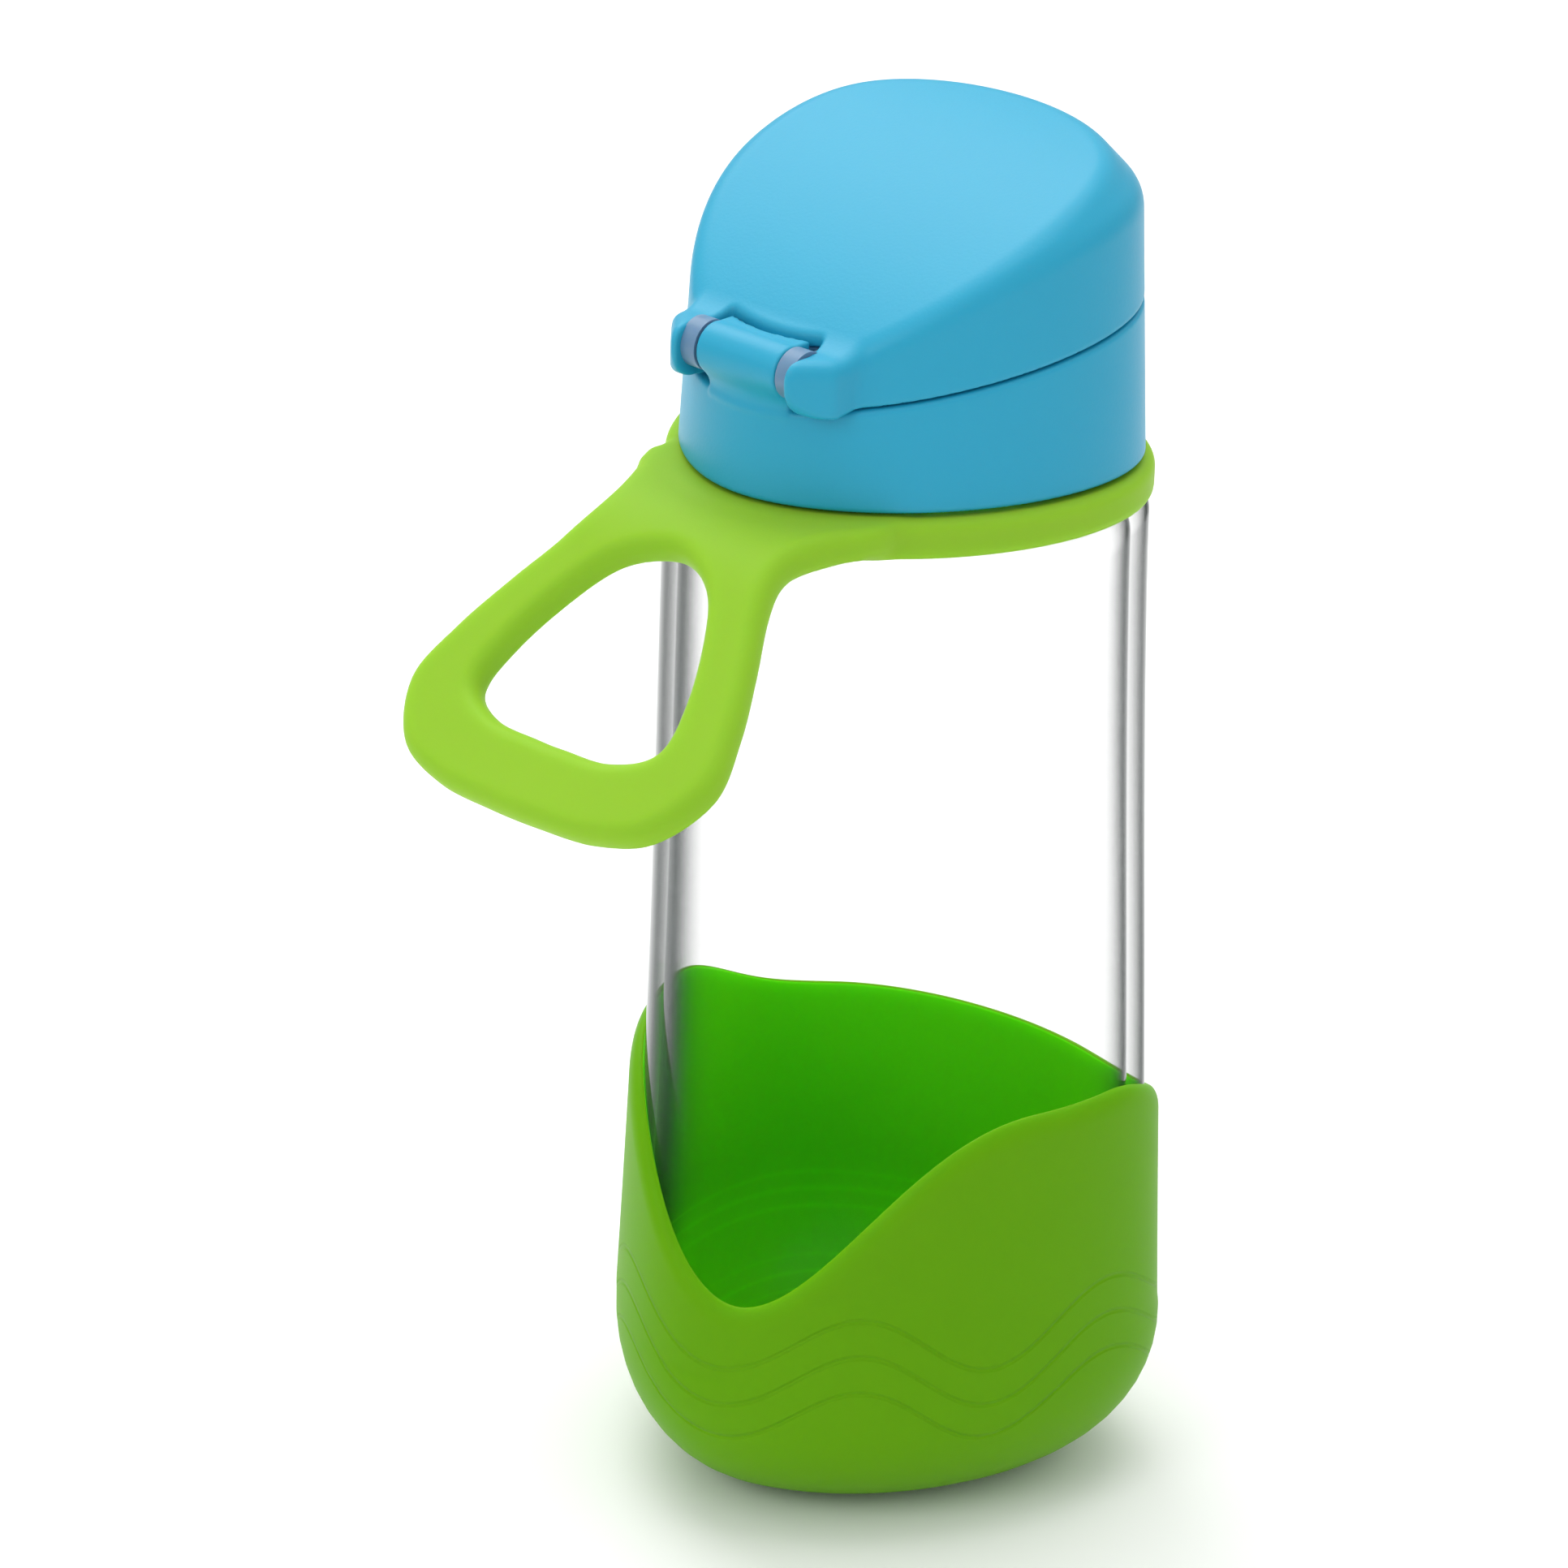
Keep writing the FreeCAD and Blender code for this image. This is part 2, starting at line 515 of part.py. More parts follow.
vent = cyl(VENT_R + 1.4, DECK_TOP, DECK_TOP + 0.8, y=VENT_Y).fuse(cyl(VENT_R, DECK_Z - 1.0, DECK_TOP + 0.4, y=VENT_Y))
vent = vent.fuse(cyl(VENT_R + 0.7, DECK_Z - 1.6, DECK_Z, y=VENT_Y)).cut(cyl(0.6, DECK_Z - 3, DECK_TOP + 3, y=VENT_Y))
export(vent, "vent_valve")
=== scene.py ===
import math

import bpy
import numpy as np
from mathutils import Matrix, Vector


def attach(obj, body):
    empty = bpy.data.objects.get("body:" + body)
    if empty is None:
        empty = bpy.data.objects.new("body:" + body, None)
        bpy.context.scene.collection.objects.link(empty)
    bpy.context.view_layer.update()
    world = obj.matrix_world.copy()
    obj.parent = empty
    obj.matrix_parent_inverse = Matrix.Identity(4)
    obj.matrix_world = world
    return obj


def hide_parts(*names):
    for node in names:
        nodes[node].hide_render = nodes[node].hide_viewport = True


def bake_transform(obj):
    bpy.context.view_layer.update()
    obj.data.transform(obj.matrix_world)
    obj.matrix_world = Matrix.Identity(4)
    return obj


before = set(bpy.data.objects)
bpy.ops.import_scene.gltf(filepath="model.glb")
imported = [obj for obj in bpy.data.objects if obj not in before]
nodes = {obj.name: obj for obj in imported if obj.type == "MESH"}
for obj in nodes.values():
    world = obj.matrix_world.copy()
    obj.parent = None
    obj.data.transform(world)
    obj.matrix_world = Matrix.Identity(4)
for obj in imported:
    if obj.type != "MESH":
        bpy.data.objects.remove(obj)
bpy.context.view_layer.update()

MM = 0.001

# ---- driving sizes, millimetres, those of the CAD part and a few of the visual pieces alone ------
COLLAR_Z, SHOULDER_Z = 152.0, 145.3
BODY_R_BASE, BODY_R_MID, BODY_R_TOP = 37.5, 34.6, 33.0
TRI_BASE, TRI_TOP = 0.070, 0.030
BODY_WALL, BODY_FLOOR, BODY_ROUND, SHOULDER_ROUND = 2.4, 4.0, 22.0, 2.0
COLUMNS = 240             # points round each ring of the body and the boot
BOOT_WALL, BOOT_FLOOR = 2.0, 2.2
RIM_FRONT, RIM_SIDE, RIM_BACK, RIM_DIP, RIM_BACK_DIP, RIM_TURN = 35.5, 63.0, 53.0, 33.0, 30.0, 12.0
LIP_RISE = 3.4            # how far down the outside of the boot's rim is rounded over
NECK_BORE_R, NECK_R, NECK_TOP = 24.0, 26.6, 162.4
PITCH, TURNS, TOOTH, TOOTH_ROOT, TOOTH_CREST, THREAD_Z = 4.0, 1.5, 1.2, 2.2, 1.0, 2.6
COLLAR_ROOT_R = 28.2
STRAP_R, STRAP_TRI, RING_Z0, RING_Z1 = 33.2, 0.040, 145.7, 151.6
STRAP_THICK, WEB_SLOPE, LOOP_SLOPE, LOOP_REACH, LOOP_HALF = 5.2, 8.0, 42.0, 51.4, 27.0
LOOP_WEB_HALF, LOOP_BAR, LOOP_ARM, FLEX_U, BEND_END = 16.2, 10.9, 10.6, 7.0, 18.0
COLLAR_R, COLLAR_TRI, DRAFT, COLLAR_WALL = 31.6, 0.050, 0.05, 1.9
DECK_Z, DECK_TOP = 164.0, 166.0
SEAM_MID, SEAM_RISE, SEAM_SAG, SEAM_GAP = 19.3, 0.165, 0.0012, 0.35
HINGE_Y, HINGE_Z, BARREL_R, BARREL_HALF = -30.6, 170.4, 3.5, 7.0
EAR_X, EAR_END, KNUCKLE_GAP, PIN_R = 10.2, 14.1, 0.3, 1.0
LID_NOTCH_Z, LID_MID_Z, LID_FAR_Z, LID_WALL = 22.6, 37.5, 44.0, 2.0
NOTCH_Y, NOTCH_BULGE, NOTCH_HALF, CHEEK_X, CHEEK_Y = -25.5, 1.1, 8.7, 23.0, -21.5
CHEEK_END = (27.0, -11.3)
LIP_HALF, LIP_OUT = 8.0, 1.6
SPOUT_Y, SPOUT_BASE_R, VENT_Y, VENT_R = 8.0, 9.0, -15.0, 2.2


def ease(t):
    """Ease from 0 to 1."""
    t = np.clip(t, 0.0, 1.0)
    return t * t * (3 - 2 * t)


# ---- building meshes -----------------------------------------------------------------------------
def new_object(name, points, faces):
    """Smooth-shaded object from points in millimetres."""
    mesh = bpy.data.meshes.new(name)
    mesh.from_pydata([tuple(p) for p in (np.asarray(points) * MM).tolist()], [], [tuple(f) for f in faces])
    mesh.polygons.foreach_set("use_smooth", [True] * len(mesh.polygons))
    mesh.update()
    thing = bpy.data.objects.new(name, mesh)
    bpy.context.scene.collection.objects.link(thing)
    return thing


def skin(name, rings):
    """Closed skin over a list of rings, each an (n, 3) array, with a fan over each end."""
    n = len(rings[0])
    points = np.concatenate(rings + [rings[0].mean(0)[None], rings[-1].mean(0)[None]])
    first, last = len(points) - 2, len(points) - 1
    faces = []
    for i in range(len(rings) - 1):
        for j in range(n):
            k = (j + 1) % n
            faces.append((i * n + j, i * n + k, (i + 1) * n + k, (i + 1) * n + j))
    end = (len(rings) - 1) * n
    for j in range(n):
        k = (j + 1) % n
        faces.append((first, k, j))
        faces.append((last, end + j, end + k))
    return new_object(name, points, faces)


def tri_ring(r, k, z, off=0.0):
    """Ring of a rounded triangle of constant width. z and off may be arrays, one value a point."""
    psi = np.arange(COLUMNS) * (2 * math.pi / COLUMNS)
    h = r * (1 + k * np.cos(3 * psi)) + off
    dh = -3 * r * k * np.sin(3 * psi)
    x = h * np.sin(psi) + dh * np.cos(psi)
    y = -h * np.cos(psi) + dh * np.sin(psi)
    return np.stack([x, y, np.broadcast_to(z, x.shape) + 0.0 * x], 1)


def body_r(z):
    """Mean radius of the body at a height."""
    u = (SHOULDER_Z - z) / SHOULDER_Z
    return BODY_R_TOP * (1 - u) * (1 - 2 * u) + BODY_R_MID * 4 * u * (1 - u) + BODY_R_BASE * u * (2 * u - 1)


def body_k(z):
    """How triangular the body is at a height."""
    return TRI_TOP + (TRI_BASE - TRI_TOP) * ease(1.6 * (SHOULDER_Z - z) / SHOULDER_Z)


def tooth_height(theta, z, z_start, start_turn):
    """Height of a helical thread over its root, at an angle and a height."""
    best = 0.0
    turn = np.mod(theta / (2 * math.pi) - start_turn, 1.0)
    for whole in range(3):
        t = turn + whole
        gap = np.abs(z - (z_start + PITCH * (start_turn + t)))
        h = np.clip((TOOTH_ROOT / 2 - gap) / ((TOOTH_ROOT - TOOTH_CREST) / 2), 0, 1)
        best = np.maximum(best, h * ease((TURNS - t) / 0.05) * ease(t / 0.05))
    return TOOTH * best


# ---- shapes moulded in one piece: a field that is negative inside --------------------------------
def blend_min(a, b, r):
    """Joins two shapes with a fillet of about r."""
    h = np.clip(0.5 + 0.5 * (b - a) / r, 0, 1)
    return b + (a - b) * h - r * h * (1 - h)


def blend_max(a, b, r):
    """Keeps what two shapes share, with the edge rounded by about r."""
    return -blend_min(-a, -b, r)


def rounded(a, b, r):
    """Keeps what two shapes share, with the edge truly rounded to radius r."""
    qa, qb = a + r, b + r
    return np.minimum(np.maximum(qa, qb), 0) + np.hypot(np.maximum(qa, 0), np.maximum(qb, 0)) - r


def normal_angle(x, y, r, k):
    """Angle from -Y of the rounded triangle's normal that points at x, y."""
    best, psi = -1e9, 0.0
    for a in np.arange(0, 2 * math.pi, math.pi / 24):
        d = x * math.sin(a) - y * math.cos(a) - r * (1 + k * math.cos(3 * a))
        psi = np.where(d > best, a, psi)
        best = np.maximum(d, best)
    for _ in range(3):
        first = x * np.cos(psi) + y * np.sin(psi) + 3 * k * r * np.sin(3 * psi)
        second = -x * np.sin(psi) + y * np.cos(psi) + 9 * k * r * np.cos(3 * psi)
        psi = psi - np.clip(first / np.minimum(second, -2.0), -0.1, 0.1)
    return psi


def side_distance(x, y, psi, r, k):
    """Distance outside a rounded triangle whose normal there is at the angle psi."""
    return x * np.sin(psi) - y * np.cos(psi) - r * (1 + k * np.cos(3 * psi))


def cap_side(x, y, z):
    """Distance outside the tapering wall that the collar and the lid share."""
    psi = normal_angle(x, y, COLLAR_R - 1, COLLAR_TRI)
    return side_distance(x, y, psi, COLLAR_R - DRAFT * (z - COLLAR_Z), COLLAR_TRI)


def moulded(name, field, low, high, step):
    """Mesh of the surface where the field is zero, one point to a cell, then drawn onto the field."""
    axes = [np.arange(a, b + step, step) for a, b in zip(low, high)]
    shape = tuple(len(a) for a in axes)
    d = np.broadcast_to(field(*np.meshgrid(*axes, indexing="ij", sparse=True)), shape)
    cells = tuple(n - 1 for n in shape)
    crossings, corners, flips = [], [], []
    for a in range(3):
        b, c = (a + 1) % 3, (a + 2) % 3
        near, far = [slice(None)] * 3, [slice(None)] * 3
        near[a], far[a] = slice(0, -1), slice(1, None)
        d0, d1 = d[tuple(near)], d[tuple(far)]
        at = np.argwhere((d0 < 0) != (d1 < 0))
        at = at[(at[:, b] > 0) & (at[:, b] < shape[b] - 1) & (at[:, c] > 0) & (at[:, c] < shape[c] - 1)]
        v0, v1 = d0[tuple(at.T)], d1[tuple(at.T)]
        point = at.astype(float)
        point[:, a] += v0 / (v0 - v1)
        ring = []
        for db, dc in ((0, 0), (-1, 0), (-1, -1), (0, -1)):
            cell = at.copy()
            cell[:, b] += db
            cell[:, c] += dc
            ring.append(np.ravel_multi_index(tuple(cell.T), cells))
        crossings.append(point)
        corners.append(np.stack(ring, 1))
        flips.append(v0 > 0)
    corner, flip, point = np.concatenate(corners), np.concatenate(flips), np.concatenate(crossings)
    corner[flip] = corner[flip][:, ::-1]
    ids, index = np.unique(corner.ravel(), return_inverse=True)
    index = index.reshape(-1)
    count = np.bincount(index)
    spots = np.stack([np.bincount(index, weights=np.repeat(point[:, j], 4)) / count for j in range(3)], 1)
    spots = np.asarray(low) + step * spots
    for _ in range(2):
        here = field(*spots.T)
        tiny = 0.02
        slope = np.stack([(field(*(spots + tiny * axis).T) - here) / tiny for axis in np.eye(3)], 1)
        size = np.maximum((slope ** 2).sum(1), 0.25)
        spots = spots - np.clip(here / size, -0.3 * step, 0.3 * step)[:, None] * slope
    return new_object(name, spots, index.reshape(-1, 4).tolist())


# ---- lid -----------------------------------------------------------------------------------------
def arc_through(p, q, r):
    """Centre and radius of the circle through three points."""
    (ax, ay), (bx, by), (cx, cy) = p, q, r
    d = 2 * (ax * (by - cy) + bx * (cy - ay) + cx * (ay - by))
    a2, b2, c2 = ax ** 2 + ay ** 2, bx ** 2 + by ** 2, cx ** 2 + cy ** 2
    ux = (a2 * (by - cy) + b2 * (cy - ay) + c2 * (ay - by)) / d
    uy = (a2 * (cx - bx) + b2 * (ax - cx) + c2 * (bx - ax)) / d
    return ux, uy, math.hypot(ax - ux, ay - uy)


CROWN = arc_through((NOTCH_Y, LID_NOTCH_Z), (0.0, LID_MID_Z), (-NOTCH_Y, LID_FAR_Z))


def crown_height(y):
    """Height of the lid's arched top."""
    cy, cz, r = CROWN
    return COLLAR_Z + cz + np.sqrt(np.maximum(r * r - (y - cy) ** 2, 1.0))


def bevel(y):
    """Height of the bevel round the lid's top."""
    return 0.6 + 7.0 * ease((y - NOTCH_Y) / 62.0)


def seam_height(y):
    """Height of the seam between the collar and the lid."""
    return COLLAR_Z + SEAM_MID + SEAM_RISE * y - SEAM_SAG * y * y


def from_hinge(y, z):
    """Distance from the hinge's axis."""
    return np.hypot(y - HINGE_Y, z - HINGE_Z)


EAR_R = HINGE_Z - float(seam_height(HINGE_Y)) - SEAM_GAP


# plan of a cheek from the end of the ear to where it dies into the wall
CHEEK_PLAN = [(EAR_END, HINGE_Y - 5), (EAR_END + 0.6, HINGE_Y), (CHEEK_X, CHEEK_Y), CHEEK_END]


def cheeks(x, y):
    """Distance outside the flat cheeks, in plan."""
    ax = np.abs(x)
    out = y + 10.0
    for (x0, y0), (x1, y1) in zip(CHEEK_PLAN, CHEEK_PLAN[1:]):
        run = math.hypot(x1 - x0, y1 - y0)
        out = blend_max(out, ((ax - x0) * (y1 - y0) - (y - y0) * (x1 - x0)) / run, 0.4)
    return out


def lid_hull(side, y, z, off, edge):
    """The lid's outside moved in by off, open below."""
    top = crown_height(y) if off else blend_max(crown_height(y), HINGE_Z + 3.0, 2.0)
    # the factors make each field a true distance where the surface slopes
    over = (z - top + off) * 0.88
    slope = 0.756 * side + 0.655 * (z - top + bevel(y) + 0.6 * off)
    return blend_max(blend_max(side, slope, 1.4 * edge), over, 1.4 * edge)


def lid_shape(x, y, z):
    """Field of the lid: a hollow wedge with two ears, a notch between them and a thumb lip."""
    ax = np.abs(x)
    hinge = from_hinge(y, z)
    side = cap_side(x, y, z)
    solid = lid_hull(blend_min(side, cheeks(x, y), 0.6), y, z, 0.0, 1.0)
    solid = rounded(solid, np.minimum(HINGE_Y - y, hinge - EAR_R), 0.9)
    # thumb lip on the far edge
    far = (COLLAR_R - DRAFT * SEAM_MID) * (1 - COLLAR_TRI)
    low = seam_height(far) + SEAM_GAP
    lip = rounded(np.hypot(x, y - far - LIP_OUT + LIP_HALF) - LIP_HALF, np.abs(z - low - 1.5) - 1.5, 0.7)
    solid = blend_min(solid, lip, 1.2)
    # hollow, notch round the hinge, seam
    hollow = lid_hull(side + LID_WALL, y, z, LID_WALL, 0.3)
    hollow = np.maximum(hollow, np.where(ax > EAR_X - 1, NOTCH_Y + 3 - y, -5.0))
    solid = np.maximum(solid, -hollow)
    t = np.clip((y - HINGE_Y) / (NOTCH_Y - HINGE_Y), 0, 1)
    far_edge = NOTCH_Y - NOTCH_BULGE * (1 - (x / NOTCH_HALF) ** 2)
    notch = rounded(y - far_edge, ax - EAR_X + 0.5 - (NOTCH_HALF - EAR_X) * t, 0.8)
    solid = blend_max(solid, -notch, 0.8)
    solid = blend_max(solid, (seam_height(y) + SEAM_GAP / 2 - z) * 0.98, 0.7)
    return np.maximum(solid, -np.maximum(hinge - PIN_R, ax - EAR_END + 1.2))


lid = moulded("lid_shell", lid_shape, (-34, -37, 160), (34, 36, 198), 0.36)
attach(lid, "lid")
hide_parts("flip_lid")


# ---- collar --------------------------------------------------------------------------------------
def collar_shape(x, y, z):
    """Field of the collar: a threaded ring with a deck, a wall round it and the hinge's barrel."""
    ax = np.abs(x)
    r = np.hypot(x, y)
    hinge = from_hinge(y, z)
    side = cap_side(x, y, z)
    solid = rounded(side, COLLAR_Z - z, 0.6)
    solid = blend_max(solid, (z - seam_height(y) + SEAM_GAP / 2) * 0.98, 0.7)
    solid = np.maximum(solid, -np.maximum(side + COLLAR_WALL, DECK_TOP - z))
    theta = np.arctan2(y, x)
    tooth = tooth_height(theta, z, COLLAR_Z + THREAD_Z - PITCH / 2, 0.4)
    solid = np.maximum(solid, -np.maximum(r - COLLAR_ROOT_R + tooth, z - DECK_Z))
    # room beside the barrel for the knuckles and the ears
    relief = rounded(hinge - EAR_R - KNUCKLE_GAP, np.abs(ax - (BARREL_HALF + EAR_END + 1.5) / 2)
                     - (EAR_END + 1.5 - BARREL_HALF) / 2, 0.3)
    solid = blend_max(solid, -relief, 0.7)
    # the wall is carried up under the barrel, and the barrel's flat top reaches back into the lid's notch
    apron = np.maximum(np.maximum(side, y - HINGE_Y - BARREL_R), np.maximum(DECK_Z - z, z - HINGE_Z))
    solid = blend_min(solid, rounded(apron, ax - BARREL_HALF, 0.35), 0.6)
    back = HINGE_Y + 3.6 - 1.3 * (1 - (x / BARREL_HALF) ** 2)
    tongue = np.maximum(z - HINGE_Z - BARREL_R + 0.1, HINGE_Z - 2 - z)
    tongue = np.maximum(tongue, np.maximum(HINGE_Y - y, y - back))
    hump = rounded(np.minimum(hinge - BARREL_R, tongue), ax - BARREL_HALF, 0.35)
    solid = blend_min(solid, hump, 2.2)
    solid = np.maximum(solid, -np.maximum(hinge - PIN_R, ax - BARREL_HALF - 1))
    # holes in the deck for the spout and the vent
    through_deck = np.abs(z - (DECK_Z + DECK_TOP) / 2) - 2
    solid = np.maximum(solid, -np.maximum(np.hypot(x, y - SPOUT_Y) - SPOUT_BASE_R, through_deck))
    return np.maximum(solid, -np.maximum(np.hypot(x, y - VENT_Y) - VENT_R, through_deck))


collar = moulded("collar_shell", collar_shape, (-35, -36, 150.5), (35, 34, 179), 0.36)
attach(collar, "cap")
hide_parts("screw_collar")


# ---- strap: neck ring and carry loop in one moulding ---------------------------------------------
LOOP_Y = -STRAP_R * (1 + STRAP_TRI)
RING_MID = (RING_Z0 + RING_Z1) / 2


def spline_outline(points, each=14):
    """Closed smooth outline through points and their mirror image."""
    p = np.array(points + [(u, -w) for u, w in reversed(points)], float)
    before, after, later = np.roll(p, 1, 0), np.roll(p, -1, 0), np.roll(p, -2, 0)
    out = []
    for t in np.arange(each) / each:
        out.append(0.5 * (2 * p + (after - before) * t + (2 * before - 5 * p + 4 * after - later) * t * t
                          + (3 * p - before - 3 * after + later) * t ** 3))
    return np.stack(out, 1).reshape(-1, 2)


def outline_distance(outline, us, ws):
    """Signed distance from a closed outline, on a grid."""
    u, w = np.meshgrid(us, ws, indexing="ij")
    best = np.full(u.shape, 1e9)
    inside = np.zeros(u.shape, bool)
    for (u0, w0), (u1, w1) in zip(outline, np.roll(outline, -1, 0)):
        du, dw = u1 - u0, w1 - w0
        t = np.clip(((u - u0) * du + (w - w0) * dw) / (du * du + dw * dw + 1e-12), 0, 1)
        best = np.minimum(best, np.hypot(u - u0 - t * du, w - w0 - t * dw))
        if abs(dw) > 1e-9:
            crosses = ((w0 > w) != (w1 > w)) & (u < du * (w - w0) / dw + u0)
            inside ^= crosses
    return np.where(inside, -best, best)


def looked_up(table, us, ws, u, w):
    """Value of a table between its points."""
    step = us[1] - us[0]
    i = np.clip((u - us[0]) / step, 0, len(us) - 1.001)
    j = np.clip((w - ws[0]) / step, 0, len(ws) - 1.001)
    a, b = i.astype(int), j.astype(int)
    s, t = i - a, j - b
    return ((table[a, b] * (1 - s) + table[a + 1, b] * s) * (1 - t)
            + (table[a, b + 1] * (1 - s) + table[a + 1, b + 1] * s) * t)


web, half, reach = LOOP_WEB_HALF, LOOP_HALF, LOOP_REACH
bar_in, opening_half = reach - LOOP_BAR, half - LOOP_ARM
loop_outline = spline_outline([
    (-14, web - 2), (-9, web + 4.6), (-5, web + 4.4), (-1, web + 2.2), (6, web + 0.2), (13, web + 1.8),
    (21, half - 5.4), (30, half - 1.8), (39, half), (reach - 4, half - 4.8), (reach - 0.7, half - 13),
    (reach, half - 22.5)])
opening_outline = spline_outline([
    (10.2, 2.5), (13.7, opening_half - 8), (20.2, opening_half - 3.9), (29.2, opening_half - 0.5),
    (bar_in - 4, opening_half), (bar_in - 0.5, opening_half - 6), (bar_in, 2.5)])
loop_us, loop_ws = np.arange(-16, 60, 0.25), np.arange(-36, 36, 0.25)
loop_table = np.maximum(outline_distance(loop_outline, loop_us, loop_ws),
                        -outline_distance(opening_outline, loop_us, loop_ws))


# side view of the strap: level at the ring, then bending down into the loop
run_u = np.arange(-16.0, 62.0, 0.5)
run_slope = np.radians(WEB_SLOPE + (LOOP_SLOPE - WEB_SLOPE) * ease((run_u - 0.5) / (BEND_END - 4)))
run_y = LOOP_Y - np.cumsum(np.cos(run_slope)) * 0.5
run_z = RING_MID - np.cumsum(np.sin(run_slope)) * 0.5
run_y += LOOP_Y - np.interp(0, run_u, run_y)
run_z += RING_MID - np.interp(0, run_u, run_z)


def along_strap(y, z):
    """Distance along the strap from the ring, and height over its middle."""
    u = (LOOP_Y - y) / 0.85 + 0.0 * z
    for _ in range(5):
        a = np.interp(u, run_u, run_slope)
        dy, dz = y - np.interp(u, run_u, run_y), z - np.interp(u, run_u, run_z)
        u = u - dy * np.cos(a) * 0.9 - dz * np.sin(a) * 0.9
    a = np.interp(u, run_u, run_slope)
    n = -(y - np.interp(u, run_u, run_y)) * np.sin(a) + (z - np.interp(u, run_u, run_z)) * np.cos(a)
    return u, n


def strap_shape(x, y, z):
    """Field of the strap: the neck ring, its web and the carry loop."""
    u, n = along_strap(y, z)
    plan = looked_up(loop_table, loop_us, loop_ws, u + 0 * x, x + 0 * u)
    loop = rounded(plan, np.abs(n) - STRAP_THICK / 2, 2.3)
    loop = np.maximum(loop, -13 - u)
    psi = normal_angle(x, y, STRAP_R, STRAP_TRI)
    ring = side_distance(x, y, psi, STRAP_R, STRAP_TRI)
    ring = rounded(ring, np.abs(z - RING_MID) - (RING_Z1 - RING_Z0) / 2, 1.8)
    strap = blend_min(ring, loop, 3.0)
    strap = np.where(u < 12, blend_max(strap, z - RING_Z1, 0.8), strap)
    room_psi = normal_angle(x, y, BODY_R_TOP, TRI_TOP)
    room = side_distance(x, y, room_psi, body_r(z), TRI_TOP) - 0.9
    room = np.maximum(room, z - SHOULDER_Z - 0.4)
    strap = blend_max(strap, -room, 0.8)
    return np.maximum(strap, NECK_R + 0.4 - np.hypot(x, y))


strap = moulded("carry_strap", strap_shape, (-36, -84, 110), (36, 36, 154), 0.6)
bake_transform(strap)
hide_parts("strap_ring")
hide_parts("strap_loop")


# ---- glass body ----------------------------------------------------------------------------------
def glass_rings(off, z_floor, z_top, rounding, top_round):
    """Rings over the body's outside moved out by off, from the floor to the rounded top edge."""
    rings = []
    for share in (0.2, 0.5, 0.8):
        flat = tri_ring(body_r(z_floor) + off - rounding, body_k(z_floor), 0.0)
        rings.append(share * flat + (0, 0, z_floor))
    for a in np.radians(np.linspace(90, 0, 15)):
        z = z_floor + rounding * (1 - math.sin(a))
        rings.append(tri_ring(body_r(z) + off - rounding * (1 - math.cos(a)), body_k(z), z))
    z_side = z_top - top_round
    for z in np.linspace(z_floor + rounding, z_side, 26)[1:]:
        rings.append(tri_ring(body_r(z) + off, body_k(z), z))
    for a in np.radians(np.linspace(0, 90, 8))[1:]:
        z = z_side + top_round * math.sin(a)
        rings.append(tri_ring(body_r(z_side) + off, body_k(z_side), z, -top_round * (1 - math.cos(a))))
    return rings


angles = np.arange(COLUMNS) * (2 * math.pi / COLUMNS) - math.pi / 2
rings = glass_rings(0, BOOT_FLOOR, SHOULDER_Z, BODY_ROUND, SHOULDER_ROUND)
for grow in (1.6, 0.7, 0.2):
    rings.append(tri_ring(NECK_R + grow, 0, SHOULDER_Z + 0.9 - 0.5 * grow))
for z in np.arange(SHOULDER_Z + 1.4, NECK_TOP - 0.8, 0.25):
    rings.append(tri_ring(NECK_R, 0, z, tooth_height(angles, z, COLLAR_Z + THREAD_Z, 0.0)))
for a in np.radians(np.linspace(0, 180, 9)):
    rings.append(tri_ring(NECK_R - 0.8 + 0.8 * math.cos(a) - (1.0 if a > 1.6 else 0.0), 0,
                          NECK_TOP - 0.8 + 0.8 * math.sin(a)))
inside_top = SHOULDER_Z - BODY_WALL
for z in np.linspace(NECK_TOP - 2, inside_top + 0.8, 5):
    rings.append(tri_ring(NECK_BORE_R, 0, z))
rings.append(tri_ring(NECK_BORE_R + 0.3, 0, inside_top + 0.25))
rings.append(tri_ring(NECK_BORE_R + 1.0, 0, inside_top))
inner = glass_rings(-BODY_WALL, BOOT_FLOOR + BODY_FLOOR, inside_top, BODY_ROUND - BODY_WALL, 3.0)
glass = skin("glass_body", rings + inner[::-1])
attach(glass, "bottle")
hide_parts("bottle_body")


# ---- boot ----------------------------------------------------------------------------------------
def rim_height(ring):
    """Height of the boot's swooping rim at each point of a ring."""
    turn = math.radians(RIM_TURN)
    x = ring[:, 0] * math.cos(turn) + ring[:, 1] * math.sin(turn)
    y = ring[:, 1] * math.cos(turn) - ring[:, 0] * math.sin(turn)
    front = RIM_FRONT + (RIM_SIDE - RIM_FRONT) * ease(np.abs(x) / RIM_DIP)
    return np.where(y < 0, front, RIM_SIDE - (RIM_SIDE - RIM_BACK) * ease(y / RIM_BACK_DIP))


def wall_ring(z, off):
    """Ring on the body's side, moved out by off, with a height of its own for each point."""
    return tri_ring(body_r(z), body_k(z), z, off)


